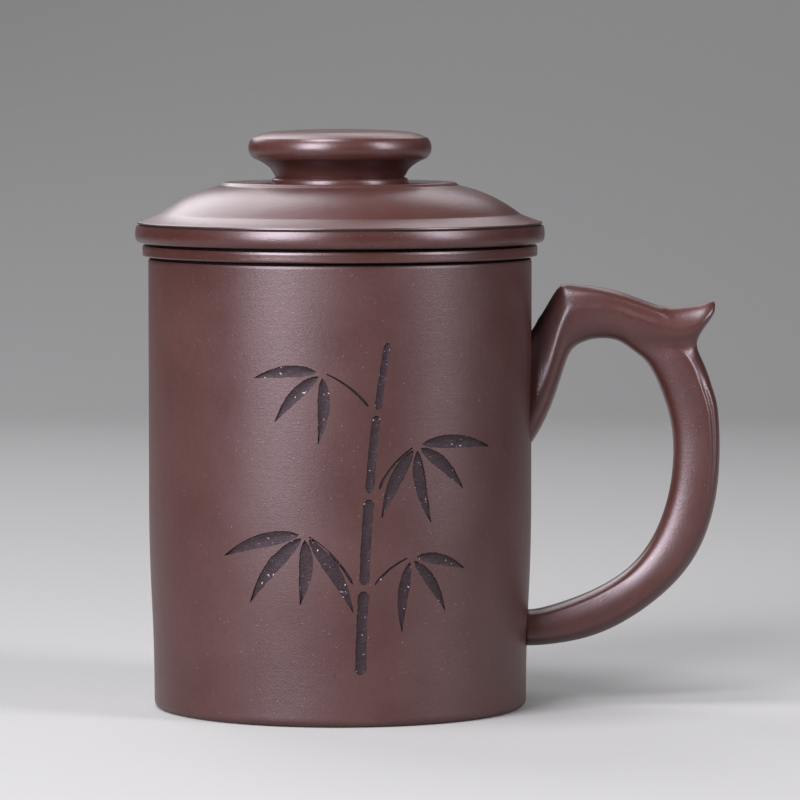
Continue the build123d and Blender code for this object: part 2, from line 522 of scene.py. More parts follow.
FOOT_STRAIGHT = 2.0 * MM
FOOT_ROUND = 1.4 * MM
FOOT_RING_WIDTH = 5.5 * MM
FOOT_RECESS = 1.2 * MM
RIM_ROUND = 0.4 * MM
INSIDE_CORNER = 7.0 * MM
FOOT_BANDS = 22
WALL_BANDS = 22
INSIDE_BANDS = 6

# The round of the foot ring's inner edge, as a share of the edge softening
FOOT_RING_SOFT = 2

# The bright upper edges of cup and flange lean in a little, with a round under and over the slope
EDGE_LEAN = 0.15 * MM
EDGE_LEAN_HEIGHT = 0.6 * MM
LEAN_LOW_ROUND = RIM_ROUND / 4
LEAN_HIGH_ROUND = RIM_ROUND / 3


def wall_radius(height, size):
    """The cup's outside radius at a height: upright above the waist, an S curve down to the foot."""
    foot = CUP_RADIUS - size.foot_draw
    up = min(1, max(0, (height - FOOT_STRAIGHT) / (size.waist_height - FOOT_STRAIGHT)))
    out = 2 * up * up if up < 0.5 else 1 - 2 * (1 - up) ** 2
    return foot + (CUP_RADIUS - foot) * out


def cup_outline(size):
    """The cup's outline, from the middle of its underside round to the middle of its inside floor."""
    foot = CUP_RADIUS - size.foot_draw
    inside = CUP_RADIUS - size.cup_wall
    ring_inside = foot - FOOT_ROUND - FOOT_RING_WIDTH
    waist = size.waist_height
    outline = [(0, FOOT_RECESS), corner(ring_inside, FOOT_RECESS, size.edge_softening)]
    outline.append(corner(ring_inside, 0, size.edge_softening * FOOT_RING_SOFT))
    outline.append(corner(foot, 0, FOOT_ROUND))
    for _, height in even((0, FOOT_STRAIGHT), (0, waist), FOOT_BANDS):
        outline.append((wall_radius(height, size), height))
    brim = CUP_HEIGHT - SEAM_DROP
    shoulder = brim - EDGE_LEAN_HEIGHT
    outline += even((CUP_RADIUS, waist), (CUP_RADIUS, shoulder - RIM_ROUND), WALL_BANDS)[1:]
    outline.append(corner(CUP_RADIUS, shoulder, LEAN_LOW_ROUND))
    outline.append(corner(CUP_RADIUS - EDGE_LEAN, brim, LEAN_HIGH_ROUND))
    outline += [(SEAM_END, brim), (SEAM_END, CUP_HEIGHT), corner(inside, CUP_HEIGHT, RIM_ROUND)]
    outline += even((inside, CUP_HEIGHT - 2 * RIM_ROUND), (inside, waist), INSIDE_BANDS)
    outline.append(corner(foot - size.cup_wall, size.cup_floor, INSIDE_CORNER))
    outline.append((0, size.cup_floor))
    return outline


# The bamboo sprig, in millimetres along the wall from its front and up from the table.
# Each length of culm: start, end, breadth
CULM_BEND = 0.15
CULM = (
    (5.0, 11.5, 5.6, 29.6, 2.4),
    (5.7, 31.0, 6.7, 49.4, 2.2),
    (6.8, 50.8, 8.4, 67.4, 1.9),
    (8.6, 68.7, 10.9, 83.0, 1.5),
)
# Each twig: start, end, breadth, how far it bends aside
TWIGS = (
    (8.9, 51.6, 16.4, 60.4, 0.8, 0.9),
    (3.2, 31.2, -6.2, 41.4, 0.8, -0.9),
    (6.6, 69.4, -2.4, 76.4, 0.7, -0.7),
    (8.0, 31.0, 15.2, 36.6, 0.7, 0.6),
)
# Each spray of leaves: where it springs, its heading in degrees, its scale, and each leaf's turn from there
SPRAYS = (
    (17.2, 61.2, -62, 1.00, (-54, -16, 22, 58)),
    (-7.0, 42.2, -112, 1.05, (-52, -18, 17, 53)),
    (-3.2, 77.0, -128, 0.92, (-46, -6, 34)),
    (16.0, 37.2, -58, 0.86, (-38, 3, 44)),
)
LEAF_LENGTH = 16.0
LEAF_WIDTH = 2.9
LEAF_START = 1.5
LEAF_BEND = 0.05
LEAF_LEAST = 0.82
LEAF_SPREAD = 0.36
SPRIG_DRAW = 7

# A knife stroke's cutter: how long and how broad its divisions are, how thin it may get, how ragged its
# edge is, how far it stands over the wall, how much its floor rises to the sides, and how rough that is
STROKE_STEP = 0.9
STROKE_LEAST_STEPS = 6
STROKE_STRIPS = 4
STROKE_LEAST_HALF = 0.05
STROKE_RAGGED = 0.16
STROKE_OVER = 0.6 * MM
STROKE_RISE = 0.45
STROKE_FLOOR_LEAST = 0.75
STROKE_FLOOR_SPREAD = 0.5

# How the strokes swell along their way: a leaf's widest place and fullness, how blunt the ends of a
# length of culm are and how they flare at its joints, and how a twig starts and thins
LEAF_WIDEST = 0.72
LEAF_FULLNESS = 0.85
CULM_BLUNT = 0.35
CULM_ROUNDING = 22
CULM_FLARE = 0.22
CULM_FLARE_FADE = 9
TWIG_BLUNT = 0.3
TWIG_ROUNDING = 8
TWIG_THINNING = 0.6


def leaf_breadth(along):
    """A leaf's breadth as a share of its widest, from stalk to tip."""
    return math.sin(math.pi * along**LEAF_WIDEST) ** LEAF_FULLNESS if 0 < along < 1 else 0


def culm_breadth(along):
    """A length of culm: flared a little at its joints and rounded off."""
    end = min(along, 1 - along)
    return min(1, CULM_BLUNT + end * CULM_ROUNDING) * (1 + CULM_FLARE * max(0, 1 - end * CULM_FLARE_FADE))


def twig_breadth(along):
    """A twig that thins towards its tip."""
    return min(1, TWIG_BLUNT + along * TWIG_ROUNDING) * (1 - TWIG_THINNING * along)


def stroke(mesh, start, end, bend, width, breadth, chance, size):
    """A cutter for one knife stroke, laid round the wall: its path bends aside and its floor is rough."""
    begin = Vector(start)
    chord = Vector(end) - begin
    side = Vector((-chord.y, chord.x)).normalized()
    steps = max(STROKE_LEAST_STEPS, int(chord.length / STROKE_STEP))
    grid = bmesh.ops.create_grid(mesh, x_segments=steps, y_segments=STROKE_STRIPS, size=0.5)
    lower = grid["verts"]
    faces = list({face for vert in lower for face in vert.link_faces})
    raised = bmesh.ops.extrude_face_region(mesh, geom=faces)["geom"]
    upper = [item for item in raised if isinstance(item, bmesh.types.BMVert)]

    def laid(vert, out):
        along = vert.co.x + 0.5
        across = vert.co.y * 2
        half = max(STROKE_LEAST_HALF, width * breadth(along) / 2)
        half = half * (1 + STROKE_RAGGED * (chance.random() - 0.5))
        spot = begin + chord * along + side * (bend * 4 * along * (1 - along) + across * half)
        turn = spot.x * MM / CUP_RADIUS
        radius = wall_radius(spot.y * MM, size) + out
        return Vector((radius * math.sin(turn), -radius * math.cos(turn), spot.y * MM))

    for vert in upper:
        vert.co = laid(vert, STROKE_OVER)
    for vert in lower:
        flat = 1 - STROKE_RISE * abs(vert.co.y * 2) ** 2
        rough = STROKE_FLOOR_LEAST + STROKE_FLOOR_SPREAD * chance.random()
        vert.co = laid(vert, -size.carving_depth * flat * rough)


def sprig_cutter(size):
    """All knife strokes of the bamboo sprig as one cutter."""
    mesh = bmesh.new()
    chance = random.Random(SPRIG_DRAW)
    for u0, v0, u1, v1, width in CULM:
        stroke(mesh, (u0, v0), (u1, v1), CULM_BEND, width, culm_breadth, chance, size)
    for u0, v0, u1, v1, width, bend in TWIGS:
        stroke(mesh, (u0, v0), (u1, v1), bend, width, twig_breadth, chance, size)
    for u, v, heading, scale, turns in SPRAYS:
        for turn in turns:
            way = math.radians(heading + turn)
            ahead = Vector((math.cos(way), math.sin(way)))
            reach = scale * (LEAF_LEAST + LEAF_SPREAD * chance.random()) * LEAF_LENGTH
            start = Vector((u, v)) + ahead * LEAF_START
            bend = LEAF_BEND * reach * (1 if turn > 0 else -1)
            stroke(mesh, start, start + ahead * reach, bend, LEAF_WIDTH * scale, leaf_breadth, chance, size)
    return closed("sprig_cutter", mesh)


class TEACUP_OT_cup_body(bpy.types.Operator):
    """Turn the cup and cut the bamboo sprig into its wall"""

    bl_idname = "teacup.cup_body"
    bl_label = "Cup body"

    def execute(self, context):
        size = sizes()
        cup = turned("cup_body_turned", cup_outline(size))
        cup.data.materials.append(turned_clay())
        cutter = sprig_cutter(size)
        cutter.data.materials.append(material("carving", carving_finish))
        cut(cup, cutter)
        if len(cup.data.materials) != 2:
            raise RuntimeError("the bamboo sprig left no mark on the cup")
        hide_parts("cup_body")
        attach(cup, "cup")
        return {"FINISHED"}


# The handle

HANDLE_LOW = 13.2 * MM
HANDLE_RISE = 80.7 * MM
HANDLE_REACH = 42.1 * MM

# Each station is its outer point and its inner point, as shares of the reach from the wall and of the
# rise above the low edge, its breadth as a share of the handle's width, how far down the ridge lies,
# and how crisp the outer and the inner ridge are, where below nothing only makes the next one fade sooner
BAR_SHARES = (
    (-0.055, 0.835, -0.055, 0.530, 1.36, 0.78, 0.0, 0.0),
    (0.012, 0.883, 0.012, 0.570, 1.32, 0.74, 0.0, 0.0),
    (0.035, 0.905, 0.105, 0.665, 1.22, 0.66, 0.0, 0.0),
    (0.064, 0.927, 0.176, 0.775, 1.15, 0.57, 0.0, 0.0),
    (0.134, 0.986, 0.222, 0.822, 1.11, 0.47, -0.15, 0.0),
    (0.198, 1.000, 0.280, 0.840, 1.09, 0.42, -0.10, 0.0),
    (0.320, 0.994, 0.350, 0.848, 1.07, 0.38, 0.15, 0.0),
    (0.445, 0.981, 0.450, 0.843, 1.05, 0.37, 0.30, 0.0),
    (0.550, 0.963, 0.545, 0.821, 1.04, 0.37, 0.30, 0.0),
    (0.650, 0.944, 0.660, 0.822, 1.03, 0.42, 0.30, 0.0),
    (0.700, 0.938, 0.714, 0.824, 1.03, 0.46, 0.10, 0.0),
    (0.745, 0.935, 0.765, 0.828, 1.02, 0.52, -0.10, 0.0),
    (0.835, 0.940, 0.855, 0.846, 0.98, 0.58, -0.25, 0.0),
    (0.900, 0.947, 0.907, 0.876, 0.88, 0.62, -0.25, 0.0),
    (0.948, 0.952, 0.943, 0.902, 0.66, 0.64, -0.20, 0.0),
    (0.970, 0.948, 0.966, 0.922, 0.40, 0.60, 0.0, 0.0),
)
LOOP_SHARES = (
    (0.876, 0.815, 0.597, 0.794, 0.99, 0.25, 0.0, 0.0),
    (0.922, 0.765, 0.655, 0.740, 1.00, 0.24, 0.12, 0.0),
    (0.963, 0.702, 0.706, 0.672, 1.00, 0.23, 0.28, 0.0),
    (0.990, 0.625, 0.745, 0.580, 0.98, 0.22, 0.28, 0.0),
    (0.985, 0.445, 0.735, 0.450, 0.96, 0.22, 0.22, 0.0),
    (0.890, 0.270, 0.655, 0.315, 0.96, 0.24, 0.0, 0.0),
    (0.690, 0.140, 0.500, 0.210, 0.98, 0.26, 0.0, 0.20),
    (0.390, 0.040, 0.285, 0.145, 1.02, 0.26, 0.0, 0.42),
    (0.120, 0.005, 0.095, 0.110, 1.10, 0.26, 0.0, 0.44),
    (0.000, 0.000, 0.000, 0.100, 1.18, 0.26, 0.0, 0.44),
    (-0.055, 0.000, -0.055, 0.100, 1.22, 0.26, 0.0, 0.40),
)

# The stations of the bar that the loop springs from
BRANCH = (8, 9, 10, 11, 12)

# One section of the handle: the share of the sloping band over the ridge, the share of the face under
# it, the breadth share, and how much of it a crisp ridge adds
SECTION_SHARES = (
    (0.00, 0.00, -0.20, 0.0),
    (0.00, 0.00, 0.20, 0.0),
    (0.29, 0.00, 0.60, 0.8),
    (0.74, 0.00, 0.90, -0.3),
    (1.00, 0.00, 1.00, 0.0),
    (1.00, 0.46, 0.96, 0.0),
    (1.00, 0.83, 0.76, 0.0),
    (1.00, 1.00, 0.38, 0.0),
    (1.00, 1.00, -0.38, 0.0),
    (1.00, 0.83, -0.76, 0.0),
    (1.00, 0.46, -0.96, 0.0),
    (1.00, 0.00, -1.00, 0.0),
    (0.74, 0.00, -0.90, 0.3),
    (0.29, 0.00, -0.60, -0.8),
)

# Places in the section: the ridges, and the inner face that opens where the loop springs from the bar
OUTER_RIDGES = (4, 11)
INNER_RIDGES = (6, 9)
INNER_LEFT, MIDDLE_LEFT, MIDDLE_RIGHT, INNER_RIGHT = INNER_FACE = (6, 7, 8, 9)

SETTLING_ROUNDS = 6
SMOOTHING = 4


def drawn_through(stations):
    """Stations moved outwards so that the smoothed surface, a cubic spline, passes through the given ones."""
    wanted = [Vector(station) for station in stations]
    moved = [station.copy() for station in wanted]
    for _ in range(SETTLING_ROUNDS):
        for here in range(1, len(moved) - 1):
            settled = (moved[here - 1] + 4 * moved[here] + moved[here + 1]) / 6
            moved[here] = moved[here] + wanted[here] - settled
    return moved


def laid_section(ring, station, width):
    """A ring's vertices laid as one section of the handle."""
    outer_out, outer_up, inner_out, inner_up, share, ridge, crisp, _ = station
    outer = Vector((CUP_RADIUS + outer_out * HANDLE_REACH, 0, HANDLE_LOW + outer_up * HANDLE_RISE))
    inner = Vector((CUP_RADIUS + inner_out * HANDLE_REACH, 0, HANDLE_LOW + inner_up * HANDLE_RISE))
    for vert, (band, face, breadth, gain) in zip(ring, SECTION_SHARES):
        depth = band * ridge + face * (1 - ridge)
        across = breadth + gain * max(0.0, crisp)
        vert.co = outer.lerp(inner, depth) + Vector((0, across * share * width / 2, 0))
    return ring


def drawn_on(mesh, ring, station, width):
    """The next section of the handle, extruded from a ring, with its ridges as crisp as it says."""
    crease = mesh.edges.layers.float.get("crease_edge")
    outer_crease, inner_crease = (max(0.0, min(1.0, crisp)) for crisp in station[-2:])
    edges = [mesh.edges.get(pair) for pair in zip(ring, ring[1:] + ring[:1])]
    made = bmesh.ops.extrude_edge_only(mesh, edges=edges)["geom"]
    fresh = {item for item in made if isinstance(item, bmesh.types.BMVert)}
    following = []
    for spot, vert in enumerate(ring):
        long_edge = next(edge for edge in vert.link_edges if edge.other_vert(vert) in fresh)
        following.append(long_edge.other_vert(vert))
        if spot in OUTER_RIDGES:
            long_edge[crease] = outer_crease
        if spot in INNER_RIDGES:
            long_edge[crease] = inner_crease
    return laid_section(following, station, width)


class TEACUP_OT_handle(bpy.types.Operator):
    """Model the handle: a strut and bar with a spur, and the loop that springs from under the bar"""

    bl_idname = "teacup.handle"
    bl_label = "Handle"

    def execute(self, context):
        width = sizes().handle_width
        mesh = bmesh.new()
        mesh.edges.layers.float.new("crease_edge")
        stations = drawn_through(BAR_SHARES)
        circle = bmesh.ops.create_circle(mesh, cap_ends=False, segments=len(SECTION_SHARES), radius=1)
        bar = [laid_section(circle["verts"], stations[0], width)]
        for station in stations[1:]:
            bar.append(drawn_on(mesh, bar[-1], station, width))
        opened = set()
        for here in BRANCH[:-1]:
            spots = {ring[spot] for ring in bar[here : here + 2] for spot in INNER_FACE}
            opened |= {face for vert in spots for face in vert.link_faces if set(face.verts) <= spots}
        bmesh.ops.delete(mesh, geom=list(opened), context="FACES")
        rings = [bar[here] for here in BRANCH]
        root = [rings[-1][MIDDLE_RIGHT], rings[-1][MIDDLE_LEFT], *(ring[INNER_LEFT] for ring in rings[::-1])]
        root += [rings[0][MIDDLE_LEFT], rings[0][MIDDLE_RIGHT], *(ring[INNER_RIGHT] for ring in rings)]
        for station in drawn_through(LOOP_SHARES):
            root = drawn_on(mesh, root, station, width)
        ends = [edge for edge in mesh.edges if len(edge.link_faces) == 1]
        bmesh.ops.holes_fill(mesh, edges=ends, sides=0)
        handle = closed("handle_luted", mesh, ALL_SMOOTH)
        smooth = handle.modifiers.new("Smooth", "SUBSURF")
        smooth.levels = SMOOTHING
        smooth.render_levels = SMOOTHING
        apply(handle)
        handle.data.shade_smooth()
        dress(handle, "cup", "handle", pressed_clay())
        return {"FINISHED"}


# The strainer liner

LINER_DRAW = 2.6 * MM
LINER_CORNER = 7.0 * MM
FLANGE_ROUND = 0.4 * MM
FLANGE_HOLLOW = 0.05 * MM
MOUTH_ROUND = 0.6 * MM
MOUTH_LAND = 3.0 * MM
HOLE_TURNS = 20
ROD_SHARE = 3
FLOOR_HOLE_PITCH = 7.5 * MM
FLOOR_HOLE_RINGS = 3
FIRST_RING_HOLES = 6
WALL_HOLE_ROWS = 3
WALL_HOLE_ROW_PITCH = 9.0 * MM
WALL_HOLES_PER_ROW = 16
WALL_HOLES_START = 11.0 * MM


def liner_outline(size):
    """The liner's outline, from the middle of its underside round to the middle of its inside floor."""
    outside = CUP_RADIUS - size.cup_wall - size.liner_gap
    inside = outside - size.liner_wall
    base = outside - LINER_DRAW
    land = COLLAR_LOW - MOUTH_LAND
    under_flange = LID_SEAT - size.flange_thickness
    lifted = under_flange + SEAM_LIFT
    brim = LID_SEAT - SEAM_DROP
    shoulder = brim - EDGE_LEAN_HEIGHT
    return [
        (0, LINER_UNDER),
        corner(base, LINER_UNDER, LINER_CORNER),
        corner(outside, land, size.edge_softening),
        corner(outside, under_flange, size.edge_softening),
        (SEAM_END, under_flange),
        (SEAM_END, lifted),
        corner(FLANGE_RADIUS, lifted, FLANGE_ROUND),
        (FLANGE_RADIUS - FLANGE_HOLLOW, (under_flange + shoulder) / 2),
        corner(FLANGE_RADIUS, shoulder, LEAN_LOW_ROUND),
        corner(FLANGE_RADIUS - EDGE_LEAN, brim, LEAN_HIGH_ROUND),
        (SEAM_END, brim),
        (SEAM_END, LID_SEAT),
        corner(inside, LID_SEAT, MOUTH_ROUND),
        corner(inside, land, size.edge_softening),
        corner(base - size.liner_wall, LINER_UNDER + size.liner_wall, LINER_CORNER - size.liner_wall),
        (0, LINER_UNDER + size.liner_wall),
    ]


def hole_cutter(size):
    """Round rods through the floor and the lower wall of the liner."""
    mesh = bmesh.new()
    rod = ROD_SHARE * size.liner_wall
    floor_middle = LINER_UNDER + size.liner_wall / 2

    def add_rod(reach, turn, up, lying=False):
        spot = Matrix.Translation((reach * math.cos(turn), reach * math.sin(turn), up))
        outwards = Matrix.Rotation(turn, 4, "Z") @ Matrix.Rotation(math.pi / 2, 4, "Y")
        bmesh.ops.create_cone(
            mesh,
            cap_ends=True,
            segments=HOLE_TURNS,
            radius1=size.hole_radius,
            radius2=size.hole_radius,
            depth=rod,
            matrix=spot @ outwards if lying else spot,
        )

    add_rod(0, 0, floor_middle)
    for ring in range(1, FLOOR_HOLE_RINGS + 1):
        holes = ring * FIRST_RING_HOLES
        for place in range(holes):
            add_rod(ring * FLOOR_HOLE_PITCH, math.tau * place / holes, floor_middle)
    inside = CUP_RADIUS - size.cup_wall - size.liner_gap - size.liner_wall
    for row in range(WALL_HOLE_ROWS):
        up = LINER_UNDER + WALL_HOLES_START + row * WALL_HOLE_ROW_PITCH
        for place in range(WALL_HOLES_PER_ROW):
            add_rod(inside, math.tau * (place + (row % 2) / 2) / WALL_HOLES_PER_ROW, up, lying=True)
    return closed("hole_cutter", mesh)


class TEACUP_OT_strainer_liner(bpy.types.Operator):
    """Turn the strainer liner and pierce its holes"""

    bl_idname = "teacup.strainer_liner"
    bl_label = "Strainer liner"

    def execute(self, context):
        size = sizes()
        liner = turned("strainer_liner_turned", liner_outline(size))
        cut(liner, hole_cutter(size))
        dress(liner, "liner", "strainer_liner", polished_clay())
        return {"FINISHED"}


# The lid, its collar and its knob

SHOULDER_EDGE_HEIGHT = 4.64 * MM
SHOULDER_EDGE_INSET = 0.56 * MM
SHOULDER_HOLLOW = 0.10 * MM
SHOULDER_BANDS = 6
DOME_FOOT_INSET = 5.4 * MM
DOME_FOOT_HEIGHT = 6.42 * MM
DOME_WIDTH = 13.6 * MM
DOME_RISE = 6.34 * MM
DOME_SWELL = 0.85 * MM
DOME_BANDS = 12
DISC_EDGE_LEAN = 0.8 * MM
DISC_RISE = 0.7 * MM
DISH_MARGIN = 3.0 * MM
HOLLOW_SIDE_HEIGHT = 4.2 * MM
HOLLOW_TOP_ROUND = 3.0 * MM
HOLLOW_SIDE_ROUND = 2.0 * MM
COLLAR_WALL = 3.0 * MM
COLLAR_ROUND = 0.8 * MM

# The rounds of the lid's edges, as shares of the edge softening
SHOULDER_EDGE_SOFT = 0.4
DISC_FOOT_SOFT = 0.8
DISC_TOP_SOFT = 1.2

# The lid's side from its foot up to the cut line, in millimetres: how far in from the widest and how
# far over the seat
LID_SIDE = (
    (0.80, 0.15),
    (0.40, 0.42),
    (0.14, 0.90),
    (0.02, 1.50),
    (0.0, 2.00),
    (0.01, 2.50),
    (0.06, 2.95),
    (0.15, 3.38),
    (0.28, 3.84),
    (0.90, 3.90),
    (0.90, 4.30),
    (0.50, 4.34),
)

KNOB_CROWN_RISE = 0.65 * MM
KNOB_BEVEL_WIDTH = 3.95 * MM
KNOB_BEVEL_DROP = 1.3 * MM
KNOB_BEVEL_SWELL = 0.155 * MM
KNOB_EDGE_LEAN = 0.85 * MM
KNOB_BELLY_DROP = 1.6 * MM
KNOB_HEAD_DEPTH = 4.55 * MM
KNOB_UNDER_TUCK = 1.0 * MM
KNOB_FLARE_RISE = 2.4 * MM
KNOB_FLARE_SWELL = 0.27 * MM
KNOB_NECK_RADIUS = 14.2 * MM
KNOB_NECK_TAPER = 1.1 * MM
KNOB_BEAD_WIDTH = 1.0 * MM
KNOB_BEAD_HEIGHT = 1.25 * MM
KNOB_BEAD_SIDE = 0.55 * MM
KNOB_BEAD_SWELL = 0.25 * MM
KNOB_EDGE_ROUND = 0.10 * MM
KNOB_CROWN_POWER = 2
KNOB_CROWN_BANDS = 24
KNOB_BEVEL_BANDS = 12
KNOB_HEAD_BANDS = 16
KNOB_FLARE_BANDS = 6
KNOB_NECK_BANDS = 4
KNOB_BEAD_BANDS = 5


def lid_outline(size):
    """The lid's outline, from its rim over the dome to the middle and back along its hollow."""
    soft = size.edge_softening
    shoulder_edge = (LID_RADIUS - SHOULDER_EDGE_INSET, LID_SEAT + SHOULDER_EDGE_HEIGHT)
    dome_foot = (LID_RADIUS - DOME_FOOT_INSET, LID_SEAT + DOME_FOOT_HEIGHT)
    disc_foot = (dome_foot[0] - DOME_WIDTH, dome_foot[1] + DOME_RISE)
    disc_top = (disc_foot[0] - DISC_EDGE_LEAN, disc_foot[1] + DISC_RISE)
    dish = KNOB_NECK_RADIUS + KNOB_BEAD_WIDTH + DISH_MARGIN
    hollow_top = KNOB_SEAT - size.lid_shell
    hollow_side = COLLAR_RADIUS - COLLAR_WALL
    foot, *side = [(LID_RADIUS - inset * MM, LID_SEAT + over * MM) for inset, over in LID_SIDE]
    outline = [(SEAM_END, LID_SEAT), (SEAM_END, LID_SEAT + SEAM_LIFT), corner(*foot, soft), *side]
    outline.append(corner(*shoulder_edge, soft * SHOULDER_EDGE_SOFT))
    outline += arc(shoulder_edge, dome_foot, SHOULDER_HOLLOW, SHOULDER_BANDS)[1:-1]
    outline.append(corner(*dome_foot, soft))
    outline += arc(dome_foot, disc_foot, -DOME_SWELL, DOME_BANDS)[1:-1]
    outline += [corner(*disc_foot, soft * DISC_FOOT_SOFT), corner(*disc_top, soft * DISC_TOP_SOFT)]
    outline += [(dish, KNOB_SEAT), (0, KNOB_SEAT), (0, hollow_top)]
    outline.append(corner(disc_foot[0] - size.lid_shell, hollow_top, HOLLOW_TOP_ROUND))
    outline.append(corner(hollow_side, LID_SEAT + HOLLOW_SIDE_HEIGHT, HOLLOW_SIDE_ROUND))
    outline.append(corner(hollow_side, LID_SEAT, soft))
    return outline


def collar_outline():
    """The collar's outline: a ring from the lid's seat down into the liner's mouth."""
    inside = COLLAR_RADIUS - COLLAR_WALL
    return [
        (COLLAR_RADIUS, LID_SEAT),
        corner(COLLAR_RADIUS, COLLAR_LOW, COLLAR_ROUND),
        corner(inside, COLLAR_LOW, COLLAR_ROUND),
        (inside, LID_SEAT),
    ]


def round_through(start, through, end, count):
    """Points from start to end on the circle through three points, without the last one."""
    (ax, ay), (bx, by), (cx, cy) = start, through, end
    twice = 2 * (ax * (by - cy) + bx * (cy - ay) + cx * (ay - by))
    a2, b2, c2 = ax * ax + ay * ay, bx * bx + by * by, cx * cx + cy * cy
    x = (a2 * (by - cy) + b2 * (cy - ay) + c2 * (ay - by)) / twice
    y = (a2 * (cx - bx) + b2 * (ax - cx) + c2 * (bx - ax)) / twice
    radius = math.hypot(ax - x, ay - y)
    first = math.atan2(ay - y, ax - x)
    last = math.atan2(cy - y, cx - x)
    turns = [first + (last - first) * step / count for step in range(count)]
    return [(x + radius * math.cos(turn), y + radius * math.sin(turn)) for turn in turns]


def knob_outline():
    """The knob's outline, from the middle of its foot to the middle of its crown."""
    edge_radius = KNOB_RADIUS - KNOB_EDGE_LEAN
    crown = (edge_radius - KNOB_BEVEL_WIDTH, KNOB_TOP - KNOB_CROWN_RISE)
    edge = (edge_radius, crown[1] - KNOB_BEVEL_DROP)
    under = (KNOB_RADIUS - KNOB_UNDER_TUCK, edge[1] - KNOB_HEAD_DEPTH)
    belly = (KNOB_RADIUS, edge[1] - KNOB_BELLY_DROP)
    throat = (KNOB_NECK_RADIUS + KNOB_NECK_TAPER, under[1] - KNOB_FLARE_RISE)
    neck = (KNOB_NECK_RADIUS, KNOB_SEAT + KNOB_BEAD_HEIGHT)
    bead = (KNOB_NECK_RADIUS + KNOB_BEAD_WIDTH, KNOB_SEAT + KNOB_BEAD_SIDE)
    outline = [(0, KNOB_SEAT), (bead[0], KNOB_SEAT)]
    outline += arc(bead, neck, -KNOB_BEAD_SWELL, KNOB_BEAD_BANDS)
    outline += even(neck, throat, KNOB_NECK_BANDS)[1:]
    outline += arc(throat, under, KNOB_FLARE_SWELL, KNOB_FLARE_BANDS)[1:-1]
    outline += round_through(under, belly, edge, KNOB_HEAD_BANDS)
    outline.append(corner(*edge, KNOB_EDGE_ROUND))
    outline += arc(edge, crown, -KNOB_BEVEL_SWELL, KNOB_BEVEL_BANDS)[1:]
    for step in range(1, KNOB_CROWN_BANDS + 1):
        across = 1 - step / KNOB_CROWN_BANDS
        outline.append((crown[0] * across, KNOB_TOP - KNOB_CROWN_RISE * across**KNOB_CROWN_POWER))
    return outline


class TEACUP_OT_lid(bpy.types.Operator):
    """Turn the lid and the collar that centres it in the liner's mouth"""

    bl_idname = "teacup.lid"
    bl_label = "Lid and collar"

    def execute(self, context):
        lid = turned("lid_turned", lid_outline(sizes()), ring=True)
        dress(lid, "cover", "lid", polished_clay())
        collar = turned("lid_collar_luted", collar_outline(), ring=True)
        dress(collar, "cover", "lid_collar", turned_clay())
        return {"FINISHED"}


class TEACUP_OT_knob(bpy.types.Operator):
    """Turn the knob"""

    bl_idname = "teacup.knob"
    bl_label = "Knob"

    def execute(self, context):
        knob = turned("knob_turned", knob_outline())
        dress(knob, "cover", "knob", polished_clay())
        return {"FINISHED"}


# The stage

CAMERA_PLACE = (13.3 * MM, -1150 * MM, 146 * MM)
CAMERA_PITCH = math.radians(90 - 3.88)
CAMERA_LENS = 233.4
CAMERA_SENSOR = 36
CAMERA_REACH = 20

# The paper that the cup stands on, in metres: it lies flat and sweeps up at its far end
FLOOR_HALF = 0.8
BACK_PLACE = 1.5
WALL_HEIGHT = 0.3
WALL_SWEEP = 0.6
SWEEP_SEGMENTS = 24
PAPER_SCALE = 260
PAPER_SHADE = 0.96
PAPER_ROUGHNESS = 0.9
PAPER_IOR = 1.3

LAMP_TINT = (0.975, 0.965, 1.0)
WORLD_COLOUR = (0.95, 0.96, 1.0, 1)
WORLD_STRENGTH = 0.05

# Each softbox: name, where it hangs, what it faces, width, height, watts
SOFTBOXES = (
    ("left_softbox", (-0.58, -0.83, 0.52), (0, 0, 0.08), 0.58, 0.8, 29.0),
    ("right_softbox", (0.86, -0.48, 0.54), (0, 0, 0.08), 0.26, 0.8, 12.0),
    ("back_left_softbox", (-0.360, 0.676, 0.743), (0, 0, 0.10), 0.54, 0.82, 5.6),
    ("top_softbox", (-0.22, -0.16, 0.92), (0.05, 0, 0.10), 0.30, 0.30, 7.0),
    ("back_right_softbox", (0.13, 0.85, 0.70), (0, 0, 0.10), 0.40, 0.34, 1.0),
)


def swept_floor():
    """The floor with its far end swept up to a low wall."""
    mesh = bmesh.new()
    left, right, near, far = -FLOOR_HALF, FLOOR_HALF, -FLOOR_HALF, BACK_PLACE
    sides = ((left, near), (left, far), (right, far), (right, near))
    mesh.faces.new([mesh.verts.new((x, y, 0)) for x, y in sides])
    back = [edge for edge in mesh.edges if all(vert.co.y > 0 for vert in edge.verts)]
    raised = bmesh.ops.extrude_edge_only(mesh, edges=back)["geom"]
    raised = [item for item in raised if isinstance(item, bmesh.types.BMVert)]
    bmesh.ops.translate(mesh, verts=raised, vec=(0, 0, 2 * WALL_SWEEP))
    fold = [edge for edge in mesh.edges if len(edge.link_faces) == 2]
    bmesh.ops.bevel(
        mesh,
        geom=fold,
        offset=WALL_SWEEP,
        offset_type="OFFSET",
        segments=SWEEP_SEGMENTS,
        profile=EVEN_PROFILE,
        affect="EDGES",
        material=-1,
    )
    bmesh.ops.bisect_plane(
        mesh,
        geom=mesh.verts[:] + mesh.edges[:] + mesh.faces[:],
        dist=MERGE_REACH / 2,
        plane_co=(0, 0, WALL_HEIGHT),
        plane_no=(0, 0, 1),
        clear_outer=True,
    )
    return closed("floor", mesh, ALL_SMOOTH)


